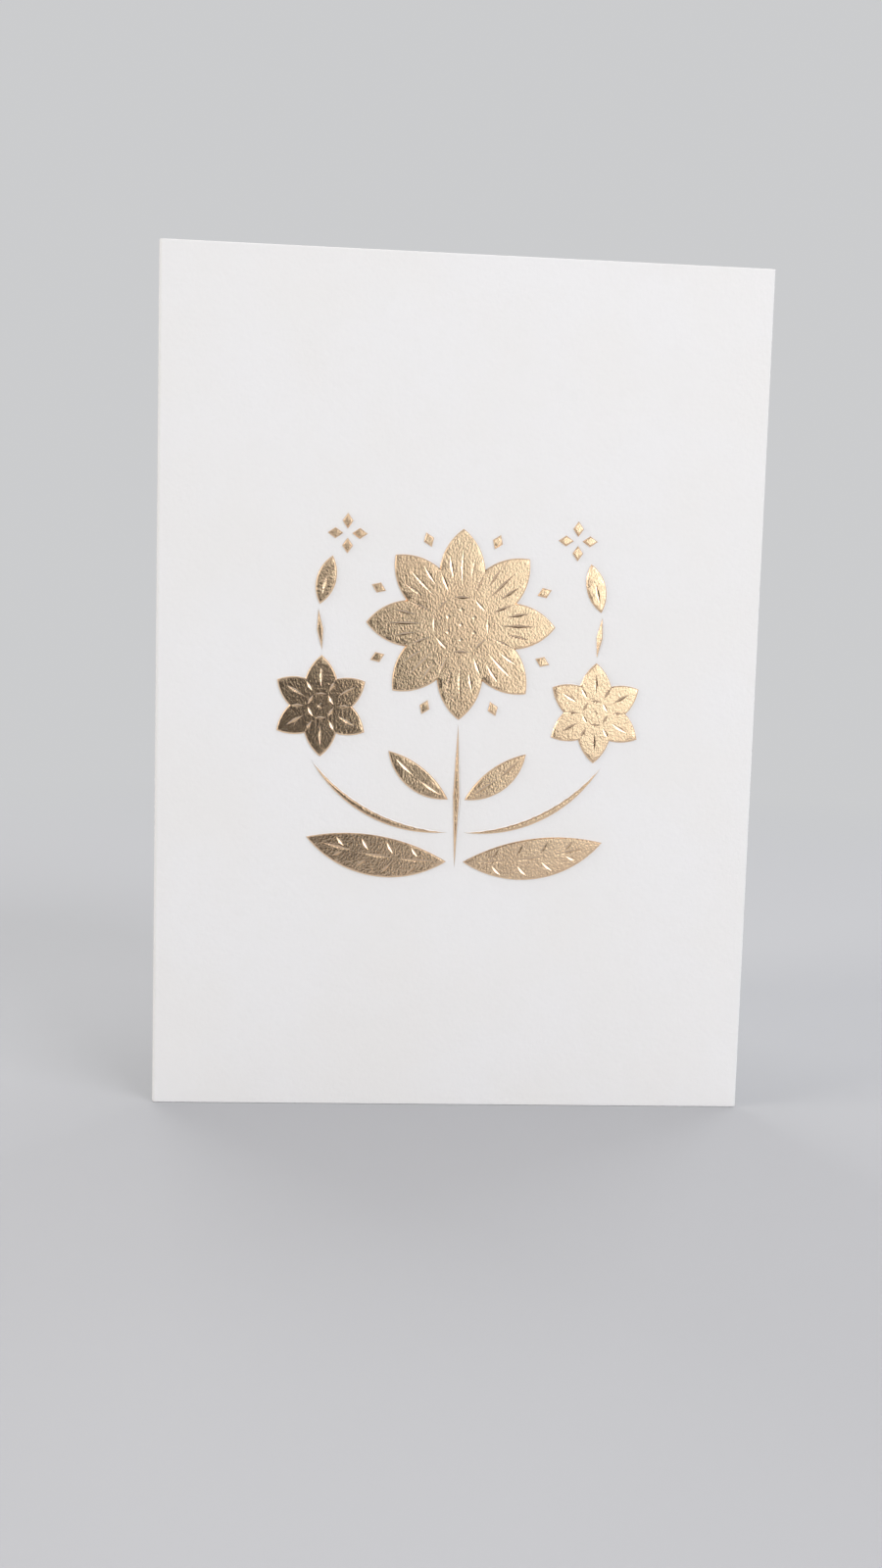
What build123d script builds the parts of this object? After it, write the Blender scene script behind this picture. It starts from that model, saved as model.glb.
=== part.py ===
from build123d import *
from math import atan, degrees
import os

# A tall card, folded once down its left side, that stands open on its bottom edges.
# The sheet, in millimetres and degrees
leaf_width = 105.0
leaf_height = 148.0
board_thickness = 0.5
crease_radius = 0.25
opening_angle = 50.0

# The relief that the dies press into the board, and the film of foil on it
relief_height = 0.25
relief_slope = 0.22
reverse_depth = 0.18
foil_thickness = 0.05
notch_width = 0.65
notch_depth = 0.15
motif_gap = 0.9

# The large bloom
bloom_radius = 16.5
bloom_rise = 11.5
bloom_petals = 8
bloom_valley_radius = 10.4
bloom_petal_bulge = 0.85
bloom_eye_radius = 5.0
bloom_seed_ring = 2.6
bloom_seed_size = 1.0
bloom_seeds = 6

# The two side blooms
side_bloom_radius = 8.8
side_bloom_reach = 24.0
side_bloom_drop = 3.2
side_bloom_petals = 6
side_bloom_valley_radius = 5.5
side_bloom_petal_bulge = 0.4
side_bloom_eye_radius = 2.3
side_bloom_seed_size = 1.2

# Stems
stem_width = 1.1
stem_foot_drop = 31.0
side_stem_start_drop = 24.8
side_stem_bow = 3.4
side_stem_lean = 8.0
bud_stem_length = 7.0
bud_stem_lean = 6.0

# Leaves
leaf_length = 25.0
leaf_breadth = 7.2
leaf_start_drop = 30.0
leaf_pitch = 9.0
leaf_sweep = 1.2
leaf_rib_cuts = 3
leaf_veins = 4
small_leaf_length = 13.5
small_leaf_breadth = 4.2
small_leaf_start_drop = 19.0
small_leaf_pitch = 38.0
small_leaf_sweep = 0.6
small_leaf_rib_cuts = 2

# Buds
bud_length = 8.6
bud_breadth = 3.4
bud_lean = 14.0

# Diamonds between the petals, and florets of four diamonds
diamond_length = 2.7
diamond_width = 1.9
diamond_ring_radius = 15.6
floret_ring_radius = 25.0
floret_bearing = 37.0
floret_petals = 4
floret_eye_radius = 0.75

# Shares of the size that each one follows
petal_crease_shares = (0.06, 0.94)
petal_vein_shares = (0.1, 0.72)
side_vein_shares = (0.22, 0.62)
side_vein_spread_share = 0.24
midrib_shares = (0.08, 0.9)
vein_root_shares = (0.18, 0.7)
vein_lead_share = 0.11
vein_run_shares = (0.2, 0.82)
bud_crease_shares = (0.16, 0.62)
eye_chord_share = 0.88

outwards = Vector(0, 0, 1)
sides = (("left", -1), ("right", 1))


# Plane figures of the design. Its centre is the origin, X is across the leaf and Y is up it

def between(start, end, share):
    return start + (end - start) * share


def polar(centre, radius, bearing):
    return centre + Vector(radius, 0).rotate(Axis.Z, bearing)


def blade(start, end, width, sweep=0):
    """A pointed sliver between two points, bowed to the left of its run by sweep."""
    right_edge = SagittaArc(start, end, sweep - width / 2)
    left_edge = SagittaArc(end, start, -sweep - width / 2)
    return make_face([right_edge, left_edge])


def polygon(corners):
    return make_face(Polyline(*corners, close=True)).face()


def diamond_corners(start, end, width):
    middle = (start + end) / 2
    aside = (end - start).normalized().rotate(Axis.Z, 90) * (width / 2)
    return [start, middle - aside, end, middle + aside]


def diamond(start, end, width):
    return polygon(diamond_corners(start, end, width))


def flower(centre, petals, valley_radius, tip_radius, bulge):
    """An outline of pointed petals, with a petal that points straight down."""
    step = 360 / petals
    outline = []
    for petal in range(petals):
        bearing = petal * step - 90
        valley = polar(centre, valley_radius, bearing - step / 2)
        tip = polar(centre, tip_radius, bearing)
        next_valley = polar(centre, valley_radius, bearing + step / 2)
        outline += [SagittaArc(valley, tip, -bulge), SagittaArc(tip, next_valley, -bulge)]
    return make_face(outline)


# Chisel cuts on a motif's top face: each is its two ends and its width

def ray(centre, bearing, inner, outer, shares):
    """A cut that runs straight out from a flower's eye."""
    start, end = (polar(centre, inner + (outer - inner) * share, bearing) for share in shares)
    return start, end, notch_width


def eye_ring(centre, radius, petals):
    """Cuts end to end round a flower's eye, one across the root of each petal."""
    step = 360 / petals
    half_turn = step / 2 * eye_chord_share
    cuts = []
    for petal in range(petals):
        bearing = petal * step - 90
        start, end = (polar(centre, radius, bearing + turn) for turn in (-half_turn, half_turn))
        cuts.append((start, end, notch_width))
    return cuts


def seed(centre, size):
    """A square pit that stands on its corner."""
    half_diagonal = Vector(0, size / 2)
    return centre - half_diagonal, centre + half_diagonal, size


def midrib(centre_line, count, shares):
    """Cuts end to end along a blade's centre line."""
    ends = [centre_line @ between(*shares, cut / count) for cut in range(count + 1)]
    return [(start, end, notch_width) for start, end in zip(ends, ends[1:])]


# Raised forms in the design's own frame: Z stands out of the leaf, and zero is its face.
# Each stands on its outline, and its sides lean in by the relief's slope

def lofted(outline, height):
    """The form of a flower: the valleys between its petals stay sharp."""
    top = offset(outline, amount=-relief_slope, kind=Kind.INTERSECTION)
    return loft([outline.face(), Pos(0, 0, height) * top.face()], ruled=True)


def tapered(outline, height):
    """The form of a blade or a diamond, which has no valleys."""
    return extrude(outline, height, outwards, taper=degrees(atan(relief_slope / height)))


# Motifs: each is its outline, its raised form and the cuts that are pressed into it

def large_bloom():
    centre = Vector(0, bloom_rise)
    outline = flower(centre, bloom_petals, bloom_valley_radius, bloom_radius, bloom_petal_bulge)
    cuts = eye_ring(centre, bloom_eye_radius, bloom_petals)
    cuts.append(seed(centre, bloom_seed_size))
    for pit in range(bloom_seeds):
        place = polar(centre, bloom_seed_ring, 90 + pit * 360 / bloom_seeds)
        cuts.append(seed(place, bloom_seed_size))
    step = 360 / bloom_petals
    eye_edge = bloom_eye_radius + notch_width / 2
    for petal in range(bloom_petals):
        bearing = petal * step - 90
        cuts.append(ray(centre, bearing + step / 2, eye_edge, bloom_valley_radius, petal_crease_shares))
        cuts.append(ray(centre, bearing, eye_edge, bloom_radius, petal_vein_shares))
        for side in (-1, 1):
            vein_bearing = bearing + side * step * side_vein_spread_share
            cuts.append(ray(centre, vein_bearing, eye_edge, bloom_radius, side_vein_shares))
    return outline, lofted, cuts


def side_bloom_centre(side):
    return Vector(side * side_bloom_reach, -side_bloom_drop)


def side_bloom(side):
    centre = side_bloom_centre(side)
    valley = side_bloom_valley_radius
    outline = flower(centre, side_bloom_petals, valley, side_bloom_radius, side_bloom_petal_bulge)
    cuts = eye_ring(centre, side_bloom_eye_radius, side_bloom_petals)
    cuts.append(seed(centre, side_bloom_seed_size))
    step = 360 / side_bloom_petals
    eye_edge = side_bloom_eye_radius + notch_width / 2
    for petal in range(side_bloom_petals):
        bearing = petal * step - 90
        cuts.append(ray(centre, bearing + step / 2, eye_edge, valley, petal_crease_shares))
        cuts.append(ray(centre, bearing, eye_edge, side_bloom_radius, petal_vein_shares))
    return outline, lofted, cuts


def main_stem():
    top = Vector(0, bloom_rise - bloom_radius - motif_gap)
    return diamond(Vector(0, -stem_foot_drop), top, stem_width), tapered, []


def beside_stem(side, drop):
    """A point one gap away from the main stem's edge."""
    return Vector(side * (stem_width / 2 + motif_gap), -drop)


def side_stem(side):
    start = beside_stem(side, side_stem_start_drop)
    end = polar(side_bloom_centre(side), side_bloom_radius + motif_gap, -90 + side * side_stem_lean)
    return blade(start, end, stem_width, -side * side_stem_bow), tapered, []


def bud_stem_ends(side):
    start = polar(side_bloom_centre(side), side_bloom_radius + motif_gap, 90)
    return start, polar(start, bud_stem_length, 90 - side * bud_stem_lean)


def bud_stem(side):
    return diamond(*bud_stem_ends(side), stem_width), tapered, []


def bud(side):
    lean = 90 + side * bud_lean
    base = polar(bud_stem_ends(side)[1], motif_gap, lean)
    tip = polar(base, bud_length, lean)
    crease_start, crease_end = (between(base, tip, share) for share in bud_crease_shares)
    return blade(base, tip, bud_breadth), tapered, [(crease_start, crease_end, notch_width)]


def leaf(side):
    """A broad leaf, bowed downwards, with veins that run from its midrib towards its edges."""
    base = beside_stem(side, leaf_start_drop)
    tip = polar(base, leaf_length, 90 - side * (90 - leaf_pitch))
    sweep = -side * leaf_sweep
    centre_line = SagittaArc(base, tip, sweep)
    cuts = midrib(centre_line, leaf_rib_cuts, midrib_shares)
    for half_breadth in (-leaf_breadth / 2, leaf_breadth / 2):
        edge = SagittaArc(base, tip, sweep + half_breadth)
        for vein in range(leaf_veins):
            share = between(*vein_root_shares, vein / (leaf_veins - 1))
            root, end = centre_line @ share, edge @ (share + vein_lead_share)
            near, far = (between(root, end, run) for run in vein_run_shares)
            cuts.append((near, far, notch_width))
    return blade(base, tip, leaf_breadth, sweep), tapered, cuts


def small_leaf(side):
    base = beside_stem(side, small_leaf_start_drop)
    tip = polar(base, small_leaf_length, 90 - side * (90 - small_leaf_pitch))
    sweep = -side * small_leaf_sweep
    cuts = midrib(SagittaArc(base, tip, sweep), small_leaf_rib_cuts, midrib_shares)
    return blade(base, tip, small_leaf_breadth, sweep), tapered, cuts


def radial_diamond(centre, radius, bearing):
    """A diamond that points away from a centre, with its inner end on a circle round it."""
    start, end = polar(centre, radius, bearing), polar(centre, radius + diamond_length, bearing)
    return diamond(start, end, diamond_width), tapered, []


def bloom_diamonds():
    """Diamonds in the valleys between the large bloom's petals."""
    step = 360 / bloom_petals
    centre = Vector(0, bloom_rise)
    inner = diamond_ring_radius - diamond_length / 2
    return [radial_diamond(centre, inner, (petal + 1 / 2) * step - 90) for petal in range(bloom_petals)]


def floret(side):
    """Diamonds set crosswise round a bare eye."""
    centre = polar(Vector(0, bloom_rise), floret_ring_radius, 90 - side * (90 - floret_bearing))
    step = 360 / floret_petals
    return [radial_diamond(centre, floret_eye_radius, petal * step) for petal in range(floret_petals)]


# What the motifs make of the board and the film

def notch(start, end, width, top):
    """A chisel cut: a four-sided pyramid that stands on its point, with its base at the top."""
    corners = [corner + outwards * top for corner in diamond_corners(start, end, width)]
    point = (corners[0] + corners[2]) / 2 - outwards * notch_depth
    walls = [polygon([corners[i - 1], corners[i], point]) for i in range(len(corners))]
    return Solid(Shell([polygon(corners)] + walls))


def relief(motif, height):
    """A motif with its cuts, from the leaf's face up to a height."""
    outline, form, cuts = motif
    raised = form(outline, height)
    return raised - [notch(*cut, height) for cut in cuts] if cuts else raised


def foil(motif):
    """The film that covers a motif's relief, face to face with it."""
    return relief(motif, relief_height + foil_thickness) - relief(motif, relief_height)


def reverse(motif):
    """The hollow that the die leaves on the leaf's inner face."""
    outline, form, _ = motif
    return Pos(0, 0, -board_thickness) * form(outline, reverse_depth)


# The folded sheet, seen from above: its fold runs along Z, and its front leaf lies along X

def sheet_section():
    """The sheet's cut edge: two straight leaves joined by a round spine."""
    spine_radius = crease_radius + board_thickness
    axis = Vector(spine_radius - leaf_width / 2, spine_radius)
    run = Vector(leaf_width - spine_radius, 0)
    back_run = run.rotate(Axis.Z, opening_angle)
    front_normal = Vector(0, -1)
    back_normal = Vector(0, 1).rotate(Axis.Z, opening_angle)
    spine_normal = Vector(-1, 0).rotate(Axis.Z, opening_angle / 2)
    corners = [axis + front_normal * radius for radius in (spine_radius, crease_radius)]
    back_corners = [axis + back_normal * radius for radius in (spine_radius, crease_radius)]
    outline = [
        Line(corners[0] + run, corners[0]),
        ThreePointArc(corners[0], axis + spine_normal * spine_radius, back_corners[0]),
        Line(back_corners[0], back_corners[0] + back_run),
        Line(back_corners[0] + back_run, back_corners[1] + back_run),
        Line(back_corners[1] + back_run, back_corners[1]),
        ThreePointArc(back_corners[1], axis + spine_normal * crease_radius, corners[1]),
        Line(corners[1], corners[1] + run),
        Line(corners[1] + run, corners[0] + run),
    ]
    return make_face(outline)


def on_front(solids):
    """Solids of the design, set upright at the middle of the front leaf."""
    face = Plane(origin=(0, 0, leaf_height / 2), x_dir=(1, 0, 0), z_dir=(0, -1, 0))
    return [face.location * solid for solid in solids]


def card(motifs, broad_motifs):
    sheet = extrude(sheet_section(), amount=leaf_height)
    sheet += on_front([relief(motif, relief_height) for motif in motifs])
    sheet -= on_front([reverse(motif) for motif in broad_motifs])
    return sheet.solid()


def broad_groups():
    """The motifs that are broad enough to show as hollows on the inner face."""
    groups = {"foil_large_bloom": [large_bloom()]}
    for name, side in sides:
        groups["foil_side_bloom_" + name] = [side_bloom(side)]
        groups["foil_leaf_" + name] = [leaf(side)]
    return groups


def fine_groups():
    groups = {"foil_main_stem": [main_stem()], "foil_diamonds": bloom_diamonds()}
    for name, side in sides:
        groups["foil_small_leaf_" + name] = [small_leaf(side)]
        groups["foil_bud_" + name] = [bud(side)]
        groups["foil_side_stem_" + name] = [side_stem(side)]
        groups["foil_bud_stem_" + name] = [bud_stem(side)]
        groups["foil_floret_" + name] = floret(side)
    return groups


def build():
    broad, fine = broad_groups(), fine_groups()
    broad_motifs = [motif for group in broad.values() for motif in group]
    fine_motifs = [motif for group in fine.values() for motif in group]
    nodes = {"card": card(broad_motifs + fine_motifs, broad_motifs)}
    for name, group in (broad | fine).items():
        nodes[name] = Compound(on_front([foil(motif).solid() for motif in group]))
    front = -relief_height - foil_thickness
    middle = (front + nodes["card"].bounding_box().max.Y) / 2
    return {name: Pos(0, -middle, 0) * node for name, node in nodes.items()}


os.makedirs("parts", exist_ok=True)
for node_name, node in build().items():
    export_step(node, f"parts/{node_name}.step")
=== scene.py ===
from contextlib import contextmanager
from math import cos, radians, sin

import bmesh
import bpy
from mathutils import Matrix, Vector


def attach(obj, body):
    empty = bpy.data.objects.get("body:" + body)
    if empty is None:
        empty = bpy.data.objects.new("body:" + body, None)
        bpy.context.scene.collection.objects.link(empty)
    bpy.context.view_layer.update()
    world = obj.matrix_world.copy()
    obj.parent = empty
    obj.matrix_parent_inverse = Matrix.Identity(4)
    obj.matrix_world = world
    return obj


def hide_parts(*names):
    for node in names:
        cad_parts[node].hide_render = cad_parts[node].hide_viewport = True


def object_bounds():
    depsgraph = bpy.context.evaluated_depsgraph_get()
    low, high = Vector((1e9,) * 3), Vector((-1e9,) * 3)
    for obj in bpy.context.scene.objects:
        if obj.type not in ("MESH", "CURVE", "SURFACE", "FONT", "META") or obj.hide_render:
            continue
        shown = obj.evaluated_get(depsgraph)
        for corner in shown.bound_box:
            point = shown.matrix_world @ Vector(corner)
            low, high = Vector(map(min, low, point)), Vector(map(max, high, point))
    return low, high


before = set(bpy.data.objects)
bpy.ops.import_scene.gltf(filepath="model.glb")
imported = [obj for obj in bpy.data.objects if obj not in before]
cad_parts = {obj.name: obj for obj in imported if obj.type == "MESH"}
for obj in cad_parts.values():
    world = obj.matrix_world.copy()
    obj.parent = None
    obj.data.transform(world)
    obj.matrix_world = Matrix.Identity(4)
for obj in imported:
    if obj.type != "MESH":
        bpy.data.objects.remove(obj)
cad_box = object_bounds()

# Lengths are in metres, and mm is one millimetre
mm = 0.001

# The front leaf lies in an XZ plane and faces -Y. A height is how far a point stands out of its face
LEAF_WIDTH = 105 * mm
LEAF_HEIGHT = 148 * mm
BOARD = 0.5 * mm
RELIEF = 0.25 * mm
FILM = 0.05 * mm
FACE_Y = cad_box[0][1] + RELIEF + FILM

# All that the dies press lies farther than this from the leaf's edges
MARGIN = 2.5 * mm

# How near two points are to be one, and a point to a height to be at it
MERGE = 0.002 * mm
AT_HEIGHT = 0.004 * mm

# How short an edge of a bloom's film is to be closed up, and how near a height its points are put at it
TINY_EDGE = 0.05 * mm
NEAR_HEIGHT = 0.012 * mm

# The fine groove that the die leaves round the relief
GROOVE_WIDTH = 0.28 * mm
GROOVE_DEPTH = 0.06 * mm

# How round the cut edges, the rims of the hollows and the rims of the films are
CUT_ROUND = 0.2 * mm
HOLLOW_ROUND = 0.1 * mm
RIM_ROUND = 0.05 * mm

# The least turn between the faces at a cut edge, and at a crease
STEEP = radians(30)
CREASED = radians(12)

# The most turn between faces that are made one, and between faces that are shaded as one
FLAT = radians(0.5)
SMOOTH = radians(32)


def colour(red, green, blue):
    return red, green, blue, 1


# The camera, at the photograph's place and angle

CAMERA_PLACE = Vector((-12.8 * mm, FACE_Y - 188.5 * mm, 71.5 * mm))
CAMERA_FORWARD = Vector((0.0532, 0.9959, -0.0729)).normalized()
CAMERA_ROLL = radians(1.6)
CAMERA_LENS = 24.75
CAMERA_SENSOR = 36
CAMERA_NEAR = 5 * mm


def add_camera():
    camera = bpy.data.objects.new("camera", bpy.data.cameras.new("camera"))
    bpy.context.scene.collection.objects.link(camera)
    level_right = CAMERA_FORWARD.cross(Vector((0, 0, 1))).normalized()
    level_up = level_right.cross(CAMERA_FORWARD)
    right = level_right * cos(CAMERA_ROLL) + level_up * sin(CAMERA_ROLL)
    up = level_up * cos(CAMERA_ROLL) - level_right * sin(CAMERA_ROLL)
    turn = Matrix((right, up, -CAMERA_FORWARD)).transposed()
    camera.matrix_world = Matrix.Translation(CAMERA_PLACE) @ turn.to_4x4()
    camera.data.lens = CAMERA_LENS
    camera.data.sensor_width = CAMERA_SENSOR
    camera.data.sensor_fit = "AUTO"
    camera.data.clip_start = CAMERA_NEAR
    bpy.context.scene.camera = camera


# Shader maths

class Number:
    """A number that nodes work out. An expression on it adds its Math nodes."""

    def __init__(self, nodes, socket):
        self.nodes = nodes
        self.socket = socket

    def math(self, operation, *values):
        node = self.nodes.add("ShaderNodeMath", {"operation": operation}, dict(enumerate(values)))
        return Number(self.nodes, node.outputs[0])

    def __add__(self, other):
        return self.math("ADD", self, other)

    def __radd__(self, other):
        return self.math("ADD", other, self)

    def __mul__(self, other):
        return self.math("MULTIPLY", self, other)

    def __rmul__(self, other):
        return self.math("MULTIPLY", other, self)

    def __pow__(self, other):
        return self.math("POWER", self, other)

    def __rpow__(self, other):
        return self.math("POWER", other, self)

    def step(self, low, high):
        """Rises smoothly from 0 at low to 1 at high."""
        node = self.nodes.add("ShaderNodeMapRange", {"interpolation_type": "SMOOTHSTEP"},
                              {"Value": self, "From Min": low, "From Max": high})
        return Number(self.nodes, node.outputs["Result"])


# Nodes

# Where a Mix node takes its two colours, and where it gives the mixed one
FIRST_COLOUR, SECOND_COLOUR = 6, 7
MIXED_COLOUR = 2


class Nodes:
    """The nodes of a material or of the world, which are all added by one method."""

    def __init__(self, data):
        self.data = data
        data.use_nodes = True
        self.tree = data.node_tree
        self.tree.nodes.clear()

    def add(self, kind, settings=(), values=()):
        """Adds a node of a kind, with its settings, and its sockets' values or links."""
        node = self.tree.nodes.new(kind)
        for name, setting in dict(settings).items():
            setattr(node, name, setting)
        for name, value in dict(values).items():
            self.connect(node.inputs[name], value)
        return node

    def connect(self, socket, value):
        if isinstance(value, Number):
            value = value.socket
        if isinstance(value, bpy.types.NodeSocket):
            self.tree.links.new(value, socket)
        else:
            socket.default_value = value

    def shader(self, kind, values):
        return self.add(kind, values=values).outputs[0]

    def mix(self, share, first, second):
        """Two shaders, mixed by a share of the second."""
        return self.shader("ShaderNodeMixShader", {0: share, 1: first, 2: second})

    def close(self, shader, kind="ShaderNodeOutputMaterial"):
        self.add(kind, values={"Surface": shader})


class Material(Nodes):
    """A material whose patterns lie in the object's own coordinates."""

    def __init__(self, name):
        super().__init__(bpy.data.materials.new(name))
        self.place = self.add("ShaderNodeTexCoord").outputs["Object"]

    def axes(self):
        split = self.add("ShaderNodeSeparateXYZ", values={"Vector": self.place})
        return [Number(self, socket) for socket in split.outputs]

    def stretched(self, factors):
        node = self.add("ShaderNodeVectorMath", {"operation": "MULTIPLY"}, {0: self.place, 1: factors})
        return node.outputs[0]

    def noise(self, grain, detail, roughness=0.55, stretch=(1, 1, 1), distortion=0):
        """Soft noise from 0 to 1 whose lumps are about one grain across."""
        values = {"Vector": self.stretched(stretch), "Scale": 1 / grain, "Detail": detail,
                  "Roughness": roughness, "Distortion": distortion}
        return Number(self, self.add("ShaderNodeTexNoise", values=values).outputs["Fac"])

    def blend(self, share, first, second):
        """Two colours, mixed by a share of the second."""
        node = self.add("ShaderNodeMix", {"data_type": "RGBA"},
                        {"Factor": share, FIRST_COLOUR: first, SECOND_COLOUR: second})
        return node.outputs[MIXED_COLOUR]

    def bump(self, *layers):
        """Tilts the surface by layers, each a noise and how deep it is in metres."""
        normal = None
        for height, depth in layers:
            values = {"Height": height, "Distance": depth, "Strength": 1}
            if normal:
                values["Normal"] = normal
            normal = self.add("ShaderNodeBump", values=values).outputs["Normal"]
        return normal

    def finish(self, values):
        self.close(self.shader("ShaderNodeBsdfPrincipled", values))
        return self.data


# Finishes

def cotton_board():
    """Soft uncoated board: a felted surface with fine fibres and a faint warm and cool mottle."""
    board = Material("cotton_board")
    felt = board.noise(grain=0.9 * mm, detail=4, roughness=0.6)
    fibre = board.noise(grain=0.35 * mm, detail=2, stretch=(1, 1, 0.35), distortion=1.5)
    fuzz = board.noise(grain=0.12 * mm, detail=2, roughness=0.7)
    cloud = board.noise(grain=22 * mm, detail=2)
    mottle = board.noise(grain=2.5 * mm, detail=3)
    warm_white, cool_white = colour(0.858, 0.85, 0.838), colour(0.865, 0.862, 0.862)
    cream = colour(0.846, 0.84, 0.83)
    white = board.blend(cloud.step(low=0.3, high=0.7), warm_white, cool_white)
    tint = board.blend(mottle.step(low=0.45, high=0.75) * 0.35, white, cream)
    relief = board.bump((felt, 0.06 * mm), (fibre, 0.016 * mm), (fuzz, 0.008 * mm))
    return board.finish({"Base Color": tint, "Roughness": 0.86 + felt * 0.1, "Normal": relief,
                         "Specular IOR Level": 0.3, "Sheen Weight": 0.15, "Sheen Roughness": 0.5})


def pressed_foil():
    """Hot-pressed metal film that takes the grain of the board under it."""
    foil = Material("pressed_foil")
    grain = foil.noise(grain=0.36 * mm, detail=2, roughness=0.5, stretch=(1, 1, 0.8))
    speck = foil.noise(grain=0.16 * mm, detail=1)
    swell = foil.noise(grain=3.2 * mm, detail=2)
    cloud = foil.noise(grain=9 * mm, detail=2)
    deep_gold, pale_gold = colour(0.81, 0.588, 0.395), colour(0.835, 0.625, 0.425)
    worn_gold = colour(0.6, 0.43, 0.3)
    gold = foil.blend(cloud.step(low=0.3, high=0.7), deep_gold, pale_gold)
    tint = foil.blend(speck.step(low=0.62, high=0.76) * 0.45, gold, worn_gold)
    relief = foil.bump((swell, 0.06 * mm), (grain, 0.063 * mm), (speck, 0.012 * mm))
    return foil.finish({"Base Color": tint, "Metallic": 1, "Roughness": 0.18 + speck * 0.1,
                        "Normal": relief})


# Rules that pick points, edges and faces

def every_part(part):
    return True


def is_at(part, height):
    """An edge or a face is level and lies at a height."""
    return all(abs(FACE_Y - height - vertex.co.y) < AT_HEIGHT for vertex in part.verts)


def is_within(vertices, margin):
    """Points all lie farther than a margin from the front leaf's edges."""
    return all(abs(vertex.co.x) < LEAF_WIDTH / 2 - margin and margin < vertex.co.z < LEAF_HEIGHT - margin
               for vertex in vertices)


def turns(edge, angle):
    """The two faces at an edge turn by more than an angle."""
    return len(edge.link_faces) == 2 and edge.calc_face_angle() > angle


# Modelling steps

def select_only(thing):
    bpy.ops.object.select_all(action="DESELECT")
    thing.select_set(True)
    bpy.context.view_layer.objects.active = thing


@contextmanager
def editing(piece, kind, wanted):
    """Edit mode on one piece, with the faces or the edges selected that a rule picks."""
    select_only(piece)
    bpy.ops.object.mode_set(mode="EDIT")
    bpy.ops.mesh.select_mode(type=kind)
    bpy.ops.mesh.select_all(action="DESELECT")
    shape = bmesh.from_edit_mesh(piece.data)
    for part in shape.faces if kind == "FACE" else shape.edges:
        if wanted(part):
            part.select_set(True)
    bmesh.update_edit_mesh(piece.data)
    yield
    bpy.ops.object.mode_set(mode="OBJECT")


def merged_copy(node, name):
    """A copy of a CAD node's solid, with its loose triangles joined."""
    select_only(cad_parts[node])
    bpy.ops.object.duplicate()
    piece = bpy.context.active_object
    piece.name = name
    piece.data.name = name
    bpy.ops.mesh.customdata_custom_splitnormals_clear()
    with editing(piece, "FACE", every_part):
        bpy.ops.mesh.remove_doubles(threshold=MERGE)
    return piece


def clean_faces(piece, wanted):
    """Joins flat triangles into whole faces, where a rule allows it."""
    with editing(piece, "FACE", wanted):
        bpy.ops.mesh.dissolve_limited(angle_limit=FLAT)


def round_edges(piece, wanted, width, angle, segments=3):
    """Rounds the edges that a rule picks and that turn by more than an angle."""
    with editing(piece, "EDGE", lambda edge: turns(edge, angle) and wanted(edge)):
        bpy.ops.mesh.bevel(offset=width, segments=segments, affect="EDGES", clamp_overlap=False,
                           loop_slide=False, miter_outer="ARC", miter_inner="SHARP")


def fill_anew(piece, height):
    """Fills the level faces at a height anew, round their holes, after their edges have changed."""
    with editing(piece, "FACE", lambda face: is_at(face, height)):
        bpy.ops.mesh.delete(type="FACE")
        bpy.ops.mesh.select_mode(type="EDGE")
        bpy.ops.mesh.select_all(action="DESELECT")
        bpy.ops.mesh.select_non_manifold(extend=False, use_multi_face=False, use_non_contiguous=False,
                                         use_verts=False)
        bpy.ops.mesh.fill(use_beauty=True)


def move_points(piece, height, reach, new_height, wanted=every_part):
    """Moves the points within reach of one height to another, where a rule allows it."""
    for vertex in bmesh.from_edit_mesh(piece.data).verts:
        if abs(FACE_Y - height - vertex.co.y) < reach and wanted(vertex):
            vertex.co.y = FACE_Y - new_height
    bmesh.update_edit_mesh(piece.data)


def apply_modifier(piece, kind, **settings):
    modifier = piece.modifiers.new(kind.lower(), kind)
    for name, setting in settings.items():
        setattr(modifier, name, setting)
    bpy.ops.object.modifier_apply(modifier=modifier.name)


def finish_piece(piece, material, node):
    """Shades a piece smooth over its roundings and flat over its broad faces, and puts it for a node."""
    select_only(piece)
    apply_modifier(piece, "TRIANGULATE", min_vertices=5, ngon_method="BEAUTY")
    bpy.ops.object.shade_smooth_by_angle(angle=SMOOTH)
    apply_modifier(piece, "WEIGHTED_NORMAL", keep_sharp=True)
    piece.data.materials.clear()
    piece.data.materials.append(material)
    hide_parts(node)
    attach(piece, "root")


# The card

def press_groove(card):
    """Presses a fine groove into the face, round everything that the dies have raised."""
    with editing(card, "FACE", lambda face: is_at(face, 0)):
        for depth in (-GROOVE_DEPTH, GROOVE_DEPTH):
            bpy.ops.mesh.inset(thickness=GROOVE_WIDTH / 2, use_even_offset=False, depth=depth)
        # The inset sinks a line along the leaf's edges too, and there the face stays level
        move_points(card, -GROOVE_DEPTH, AT_HEIGHT, 0,
                    lambda vertex: is_within([vertex], CUT_ROUND) and not is_within([vertex], MARGIN))
    fill_anew(card, 0)


def make_card(material):
    """The board: soft cut edges, a groove round the relief and soft rims to the hollows behind."""
    card = merged_copy("card", "card_board")
    clean_faces(card, lambda face: not (is_at(face, 0) or is_at(face, -BOARD)))
    round_edges(card, lambda edge: not is_within(edge.verts, MARGIN), CUT_ROUND, STEEP)
    press_groove(card)
    round_edges(card, lambda edge: is_at(edge, -BOARD) and is_within(edge.verts, MARGIN),
                HOLLOW_ROUND, CREASED, segments=2)
    fill_anew(card, -BOARD)
    finish_piece(card, material, "card")


# The foil

def close_creases(film):
    """Runs the creases between the petals right out to the corners that they nearly reach."""
    with editing(film, "EDGE", lambda edge: edge.calc_length() < TINY_EDGE):
        bpy.ops.mesh.merge(type="COLLAPSE")
        for height in (RELIEF, RELIEF + FILM):
            move_points(film, height, NEAR_HEIGHT, height)


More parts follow.
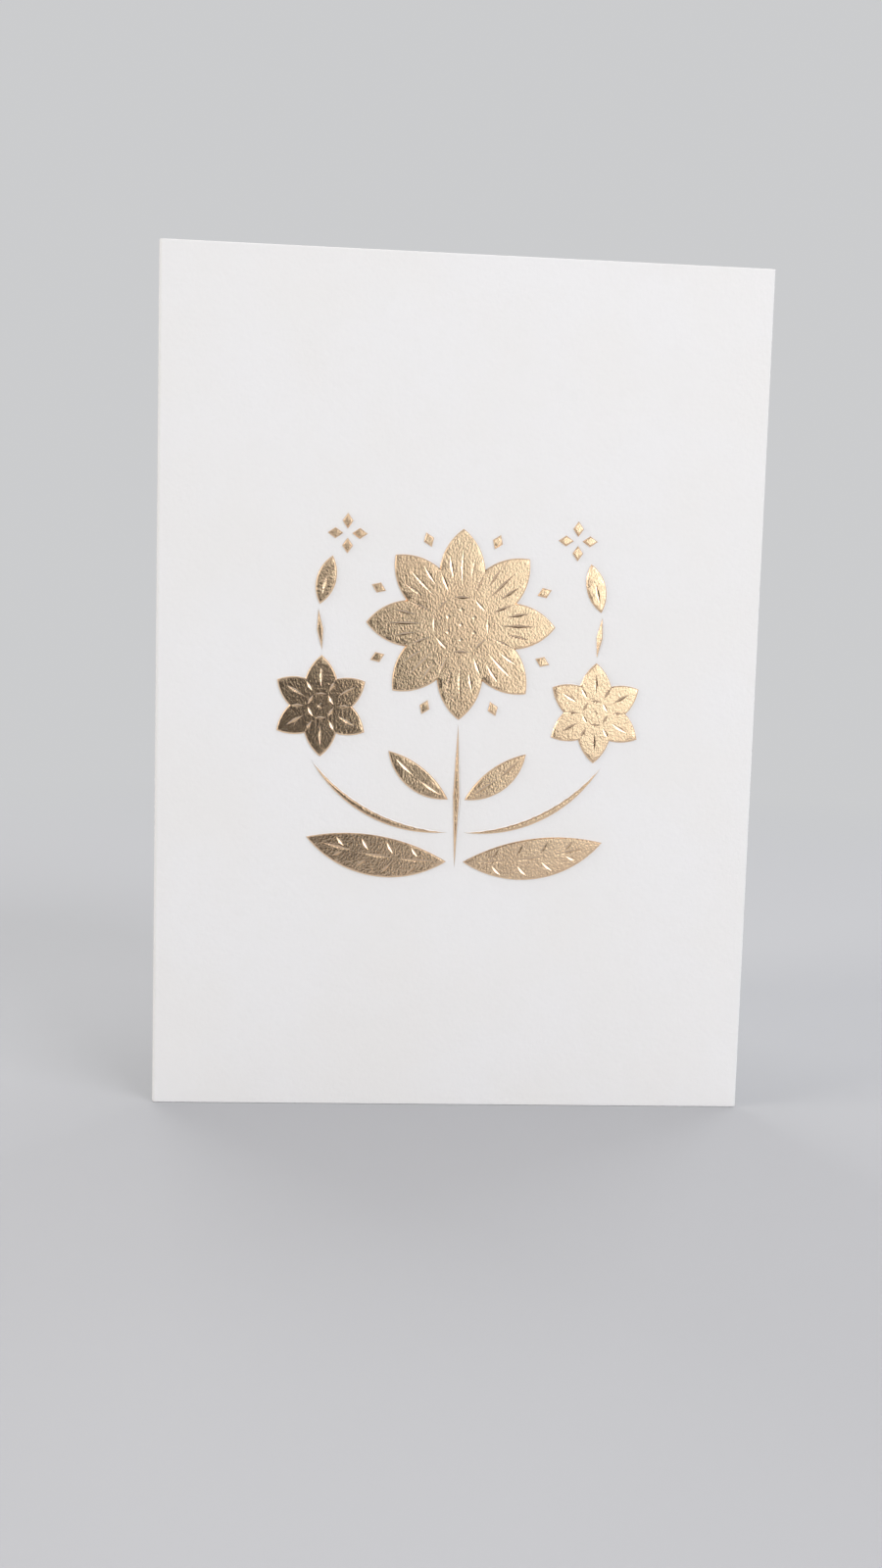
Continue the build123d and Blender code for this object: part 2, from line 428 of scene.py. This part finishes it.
def make_foil(node, material):
    """One group of foil patches, with a soft rim and soft lips to its cuts."""
    film = merged_copy(node, node.replace("foil", "film"))
    if "bloom" in node:
        close_creases(film)
    clean_faces(film, every_part)
    round_edges(film, lambda edge: is_at(edge, RELIEF + FILM), RIM_ROUND, CREASED)
    fill_anew(film, RELIEF + FILM)
    finish_piece(film, material, node)


def make_pieces():
    make_card(cotton_board())
    film = pressed_foil()
    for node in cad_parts:
        if node != "card":
            make_foil(node, film)


# The room

BACKGROUND = colour(0.6, 0.605, 0.615)
ROOM_LIGHT = colour(0.97, 0.975, 0.99)
ROOM_STRENGTH = 0.45


def add_world():
    """A plain pale room: it lights with one tint, and the camera and the foil see another."""
    world = bpy.data.worlds.new("room")
    bpy.context.scene.world = world
    room = Nodes(world)
    rays = room.add("ShaderNodeLightPath").outputs
    camera, glossy, clear = (Number(room, rays[name])
                             for name in ("Is Camera Ray", "Is Glossy Ray", "Is Transmission Ray"))
    light = room.shader("ShaderNodeBackground", {"Color": ROOM_LIGHT, "Strength": ROOM_STRENGTH})
    seen = room.shader("ShaderNodeBackground", {"Color": BACKGROUND})
    room.close(room.mix(camera + glossy + clear, light, seen), "ShaderNodeOutputWorld")


# The softboxes, which all face the design

DESIGN_MIDDLE = Vector((0, FACE_Y, 80 * mm))

# Each one's name, place, width and height, watts, and tint
SOFTBOXES = (
    ("softbox_right", (0.75, -0.75, 0.55), (0.7, 0.9), 6.9, (1, 0.97, 1)),
    ("softbox_front", (0.28, -0.87, 0.14), (0.4, 0.7), 0.98, (0.93, 1, 0.97)),
    ("softbox_left", (-1.05, -0.3, 0.5), (0.6, 0.8), 5.2, (1, 0.92, 0.845)),
    ("softbox_top", (0.05, 0.1, 1.1), (1.0, 0.8), 5.2, (1, 0.97, 0.94)),
    ("softbox_back_left", (-0.6, 0.9, 0.7), (0.7, 0.7), 4.5, (1, 0.985, 0.96)),
    ("softbox_back_right", (0.8, 0.75, 0.6), (0.6, 0.7), 3.5, (0.97, 0.985, 1)),
)


def add_softbox(name, place, size, watts, tint):
    lamp = bpy.data.objects.new(name, bpy.data.lights.new(name, "AREA"))
    bpy.context.scene.collection.objects.link(lamp)
    lamp.data.shape = "RECTANGLE"
    lamp.data.size, lamp.data.size_y = size
    lamp.data.energy = watts
    lamp.data.color = tint
    lamp.location = place
    lamp.rotation_euler = (DESIGN_MIDDLE - Vector(place)).to_track_quat("-Z", "Y").to_euler()
    lamp.visible_camera = False


# The floor: its own tint up to where the fade starts, and the background's from where it ends

FLOOR_SIZE = 12
FLOOR_TINT = colour(0.44, 0.449, 0.468)
FADE_START = 0.16
FADE_END = 0.8


def add_plane(name, size, place=(0, 0, 0), turn=(0, 0, 0)):
    bpy.ops.object.select_all(action="DESELECT")
    bpy.ops.mesh.primitive_plane_add(size=size, location=place, rotation=turn)
    plane = bpy.context.active_object
    plane.name = name
    return plane


def add_floor():
    floor = add_plane("floor", FLOOR_SIZE)
    surface = Material("floor")
    near = surface.shader("ShaderNodeBsdfDiffuse", {"Color": FLOOR_TINT})
    far = surface.shader("ShaderNodeEmission", {"Color": BACKGROUND})
    across, along, _ = surface.axes()
    distance = (across * across + along * along) ** 0.5
    surface.close(surface.mix(distance.step(FADE_START, FADE_END), near, far))
    floor.data.materials.append(surface.data)


# The dark cards: one stands beside the camera, one to the right of the design, and one lies above it

QUARTER = radians(90)
DARK_GREY = colour(0.03, 0.025, 0.022)
DARK_BROWN = colour(0.05, 0.038, 0.03)

# Each one's name, middle, turn, width and height, and tint
DARK_CARDS = (
    ("dark_card_front", (-113 * mm, FACE_Y - 200 * mm, 57 * mm), (QUARTER, 0, 0), (250 * mm, 114 * mm),
     DARK_GREY),
    ("dark_card_right", (330 * mm, FACE_Y + 10 * mm, 85 * mm), (0, QUARTER, 0), (170 * mm, 300 * mm),
     DARK_BROWN),
    ("dark_card_above", (0, FACE_Y - 150 * mm, 360 * mm), (0, 0, 0), (340 * mm, 340 * mm), DARK_BROWN),
)


def add_dark_card(name, place, turn, size, tint):
    """A dark card that shows in the foil alone, as a studio sets them round shiny things."""
    card = add_plane(name, 1, place, turn)
    card.scale = (*size, 1)
    bpy.ops.object.transform_apply(location=True, rotation=True, scale=True)
    for ray in ("camera", "diffuse", "transmission", "volume_scatter", "shadow"):
        setattr(card, "visible_" + ray, False)
    surface = Material(name)
    surface.close(surface.shader("ShaderNodeEmission", {"Color": tint}))
    card.data.materials.append(surface.data)


bpy.context.scene.view_settings.view_transform = "Standard"
add_camera()
add_world()
for softbox in SOFTBOXES:
    add_softbox(*softbox)
add_floor()
for dark_card in DARK_CARDS:
    add_dark_card(*dark_card)
make_pieces()
